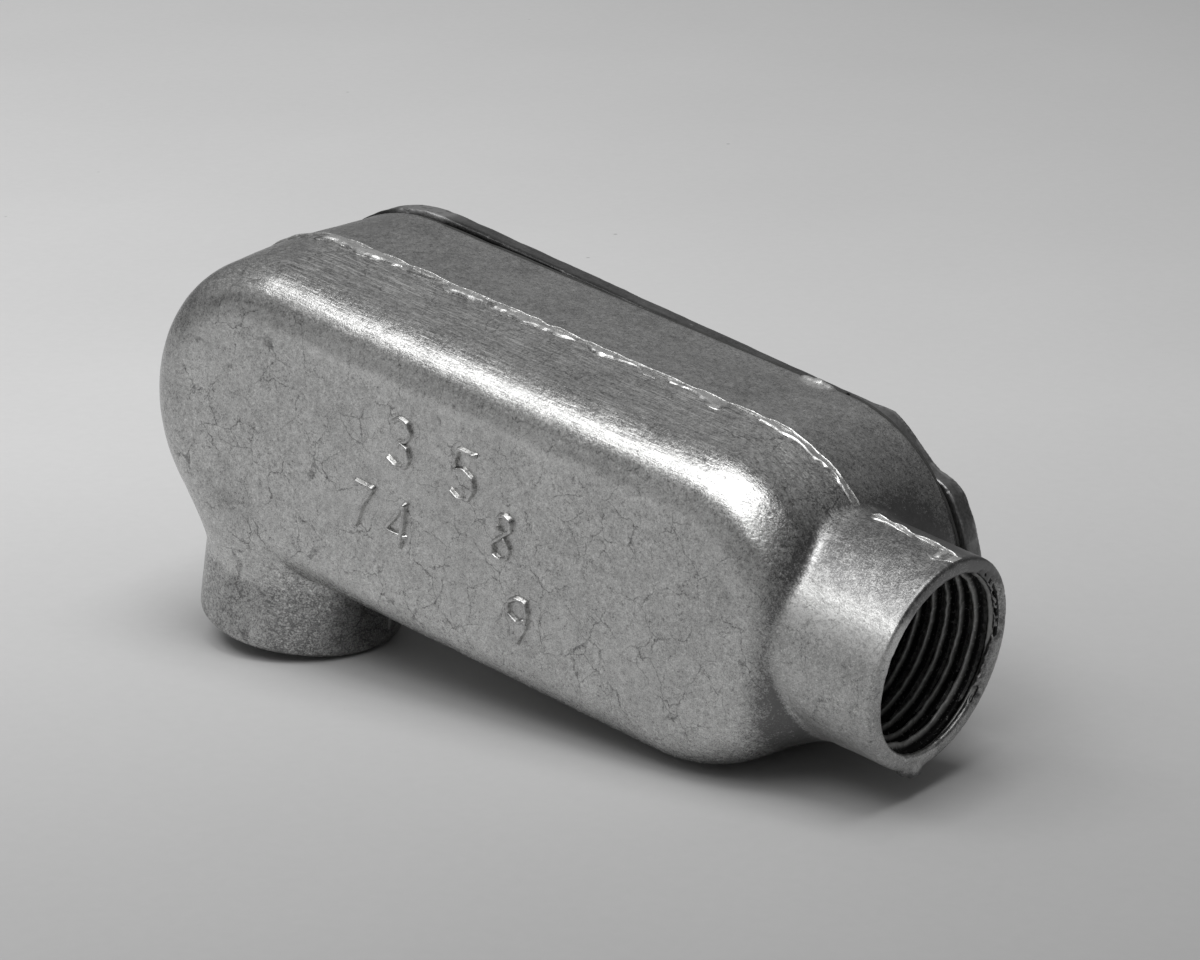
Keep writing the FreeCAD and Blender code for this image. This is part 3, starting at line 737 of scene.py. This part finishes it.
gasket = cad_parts["cover_gasket"]
gasket_bead = bead()
gasket_rubber = rubber()
for piece in (gasket, gasket_bead):
    piece.data.materials.clear()
    piece.data.materials.append(gasket_rubber)
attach(gasket_bead, "root")


# The cover: a die-cast plate with a softly rounded edge, held by two screws in shallow seats. It has been
# bent and put back a little askew, so at the end hub it lies lower and stands past the rim in a wavy edge.
COVER_BACK_Y, COVER_FACE_Y = 17.2, 19.8
COVER_HALF = 18.95
SEAT, SEAT_EDGE, SEAT_DEPTH = 4.4, 4.6, 0.6
SCREW_HOLE = 2.33
# The wavy edge: degrees round the end hub's arc, and how far the edge stands out there
EDGE_WAVES = (
    (-180, 0), (-90, 0.1), (-60, 0.3), (-30, 0.5), (-8, 0.6), (8, 0.65), (21, 0.66), (27, 0.76), (38, 0.84),
    (42, 0.6), (45, 0.1), (48, -0.45), (52, -0.7), (57, -0.6), (61, -0.45), (66, -0.1), (70, 0.2), (75, 0.5),
    (80, 0.35), (85, 0), (180, 0),
)


def cover_field(x, y, z):
    """Distance outside the cover: a round-ended plate with rounded edges, less its seats and screw holes."""
    askew = from_axis(x, z, HUB_ARC_X + 0.3, DROP - 1.5, FAR_ARC_X + 0.2, DROP + 0.15)
    turn = np.degrees(np.arctan2(z - DROP, np.maximum(x - HUB_ARC_X, 0.001)))
    bent = np.interp(turn, *zip(*EDGE_WAVES)) * ease(-3, 6, x - HUB_ARC_X)
    plate = meet(askew - COVER_HALF - bent, COVER_BACK_Y - y, 0.1)
    plate = meet(plate, y - COVER_FACE_Y, 0.45)
    for screw_x in SCREWS_X:
        from_screw = np.hypot(x - screw_x, z - DROP)
        plate = meet(plate, -np.maximum(from_screw - SEAT, COVER_FACE_Y - SEAT_DEPTH - y), 0.15)
        plate = np.maximum(plate, SCREW_HOLE - from_screw)
    return plate


cover_low, cover_high, cover_step = (-108.2, 16.3, -23.0), (-4.6, 20.7, 19.0), 0.25
plate = cover_field(*space(cover_low, cover_high, cover_step))
cover = make_piece("cover", *skin_of(plate, cover_low, cover_step))


def knocks(places, normals):
    """Slow waves and small dents, strongest along the plate's edge, and none in the seats of the screws."""
    x, y, z = places.T
    at_edge = ease(15.5, 18.5, from_axis(x, z))
    dents = 0.07 * lumps(places, 2.0, 111) + 0.03 * lumps(places, 0.8, 112)
    waves = 0.06 * lumps(places, 9.0, 110) + at_edge * dents
    from_screw = np.minimum(*(np.hypot(x - screw_x, z - DROP) for screw_x in SCREWS_X))
    return waves * ease(-0.2, 0.8, from_screw - SEAT_EDGE)


push_out(cover, knocks)
thin_out(cover, 90000)


def cover_metal():
    """Darker aluminium with a fine grain, darker on its straight edges, and worn bright with a painted
    highlight at its corners.
    """
    material, place = start_material("cover_metal")
    x, y, z = place.axes()
    grain = place.sway(0.3, 3.0, 0.7)
    rubs = place.stretch(0.1, 1.0, 1.0).sway(0.4, 3.0, 0.7)
    dents = place.node("TexVoronoi", {}, {"Vector": place, "Scale": 0.55})
    nicks = dents.rise(0.16, 0.06) * place.noise(3.0).rise(0.5, 0.6)
    corner = place.away(-91.0, 18.9, 16.6)
    # worn: real wear with a painted highlight on the edge by the end hub, and a painted highlight on the far
    # corner
    worn = y.rise(18.7, 19.3) * y.rise(19.78, 19.6) * x.rise(-29.0, -25.0)
    worn = worn * place.noise(1.5, 4.0, 0.7).rise(0.42, 0.6)
    worn = worn + corner.rise(4.6, 2.6) * place.noise(0.9, 3.0).rise(0.34, 0.55)
    # The straight edges, away from the far corner, are made darker
    darker_edges = y.rise(19.7, 19.2) * (1 + y.rise(18.0, 17.5)) * x.rise(-26.0, -31.0) * corner.rise(3.0, 6.0)
    tone = 0.5 + place.sway(6.0, 5.0, 0.65) * 0.6 + grain * 0.6 + rubs * 0.5 + nicks * 0.3
    tone = tone + worn * y.rise(20.6, 19.8) * 0.9 - darker_edges * 0.24
    height = grain * 0.02 + place.noise(1.8, 2.0) * 0.05 + rubs * 0.012 - nicks * 0.05
    finish_material(place, tone.shades((0.05, 0.05, 0.05), (0.42, 0.42, 0.42)), 0.4 + grain * 0.25, height)
    return material


cover.data.materials.append(cover_metal())
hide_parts("cover_plate")
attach(cover, "root")


# The cover screws: slotted pan heads in plated steel, each in its seat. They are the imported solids, with a
# finish of dulled zinc that is scratched across by the screwdriver.
def plated_steel():
    """Dulled zinc plate with a fine turned grain and darker stains."""
    material, place = start_material("plated_steel")
    stain = place.noise(1.4, 4.0, 0.6)
    scratch = place.stretch(0.4, 1.0, 2.0).noise(0.25, 3.0, 0.7)
    tone = 0.5 + (stain - 0.5) * 0.9 + (scratch - 0.5) * 0.6
    colour = tone.shades((0.2, 0.2, 0.19), (0.6, 0.6, 0.57))
    finish_material(place, colour, 0.34 + stain * 0.25, scratch * 0.02 + stain * 0.02)
    return material


screw_finish = plated_steel()
for end in ("hub_end", "far_end"):
    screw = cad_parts[f"cover_screw_{end}"]
    screw.data.materials.clear()
    screw.data.materials.append(screw_finish)


# The floor: a wide sheet of pale paper. The body lies on the side hub's rim and the box's lower end, so the
# sheet is the plane that touches both: through the rim's near point and tangent to the end arc.
to_arc = (HUB_ARC_X - (FAR_ARC_X + SIDE_HUB), DROP - SIDE_MOUTH_Z)
lean = math.atan2(to_arc[1], to_arc[0]) - math.asin(PARTING_HALF / math.hypot(*to_arc))
floor_east = np.array((math.cos(lean), 0.0, math.sin(lean)))
rim_point = np.array((FAR_ARC_X + SIDE_HUB, 0.0, SIDE_MOUTH_Z))
reach = np.linspace(-4000, 4000, 9)
east, north = np.meshgrid(reach, reach, indexing="ij")
sheet = rim_point + east[..., None] * floor_east + north[..., None] * np.array((0.0, 1.0, 0.0))
row, column = np.meshgrid(np.arange(8), np.arange(8), indexing="ij")
corner = row * 9 + column
tiles = np.stack([corner, corner + 9, corner + 10, corner + 1], -1)
floor = make_piece("floor", sheet.reshape(-1, 3), tiles.reshape(-1, 4))


def paper():
    """Pale matt paper, faintly clouded, with painted shade that makes it greyer to the near side and to the
    right, and clear from below.
    """
    material, place = start_material("pale_paper")
    # Painted shade: the paper is greyer towards the near side and to the right, as where light falls off
    near = place.along(0.589, -0.808, 0).rise(-170, 130)
    right = place.along(0.808, 0.589, 0).rise(-250, 200)
    cloud = place.sway(60.0, 3.0) * 0.6 + place.sway(1.5, 3.0) * 0.4
    speck = place.node("TexVoronoi", {}, {"Vector": place, "Scale": 0.055}).rise(0.025, 0.012)
    pale = 0.83 * (1 - near * 0.49) * (1 - right * 0.33) * (1 + cloud * 0.12) * (1 - speck * 0.3)
    colour = pale.shades((0.0, 0.0, 0.0), (1.0, 1.0, 1.0))
    sockets = {"Base Color": colour, "Roughness": 1.0, "Specular IOR Level": 0.0}
    matt = place.node("BsdfPrincipled", {}, sockets)
    clear = place.node("BsdfTransparent", {}, {})
    below = place.node("NewGeometry", {}, {}, output=6)
    mixed = place.node("MixShader", {}, {0: below, 1: matt, 2: clear})
    place.node("OutputMaterial", {}, {"Surface": mixed})
    return material


floor.data.materials.append(paper())


# Light: a soft lamp high on the back's left and a wide one overhead, in a grey surround that is paler on
# the left and overhead than on the right.
world = bpy.data.worlds.new("studio")
bpy.context.scene.world = world
world.use_nodes = True
world.node_tree.nodes.clear()
surround = Value(world.node_tree, None)
towards = surround.node("TexCoord", {}, {}, output=0)
from_left = towards.along(-0.85, -0.2, 0.35).rise(-0.7, 0.75)
from_above = towards.axes()[2].rise(0.0, 0.4)
level = (0.08 + from_left * 0.3) * (0.7 + from_above * 0.3)
backdrop = surround.node("Background", {}, {"Color": (1, 1, 1, 1), "Strength": level})
surround.node("OutputWorld", {}, {"Surface": backdrop})
middle = (Vector(cad_box[0]) + Vector(cad_box[1])) / 2


def soft_lamp(name, towards, distance, width, height, power):
    """A rectangular lamp at a distance from the object's middle, facing it."""
    lamp = bpy.data.lights.new(name, "AREA")
    lamp.shape = "RECTANGLE"
    lamp.size = width
    lamp.size_y = height
    lamp.energy = power
    placed = bpy.data.objects.new(name, lamp)
    direction = Vector(towards).normalized()
    placed.location = middle + direction * distance
    placed.rotation_euler = direction.to_track_quat("Z", "Y").to_euler()
    bpy.context.scene.collection.objects.link(placed)


soft_lamp("key_lamp", (-0.2, -0.5, 0.76), 0.7, 0.75, 0.24, 1.7)
soft_lamp("top_lamp", (0.0, -0.1, 1.0), 1.1, 0.6, 0.6, 5.2)


# The camera: a long lens from the back's side, above and towards the end hub, turned a little about its axis.
aim = Vector((-0.0472, 0.0, 0.0034))
back = Vector((0.5393, -0.7401, 0.4018)).normalized()
right = Vector((0, 0, 1)).cross(back).normalized()
roll = math.radians(8.02)
turned_right = right * math.cos(roll) + back.cross(right) * math.sin(roll)
lens = bpy.data.cameras.new("camera")
lens.lens = 125.8
lens.sensor_width = 36.0
lens.clip_start = 0.01
camera = bpy.data.objects.new("camera", lens)
camera.location = aim + back * 0.4642
camera.rotation_euler = Matrix((turned_right, back.cross(turned_right), back)).transposed().to_euler()
bpy.context.scene.collection.objects.link(camera)
bpy.context.scene.camera = camera
bpy.context.scene.view_settings.view_transform = "Standard"
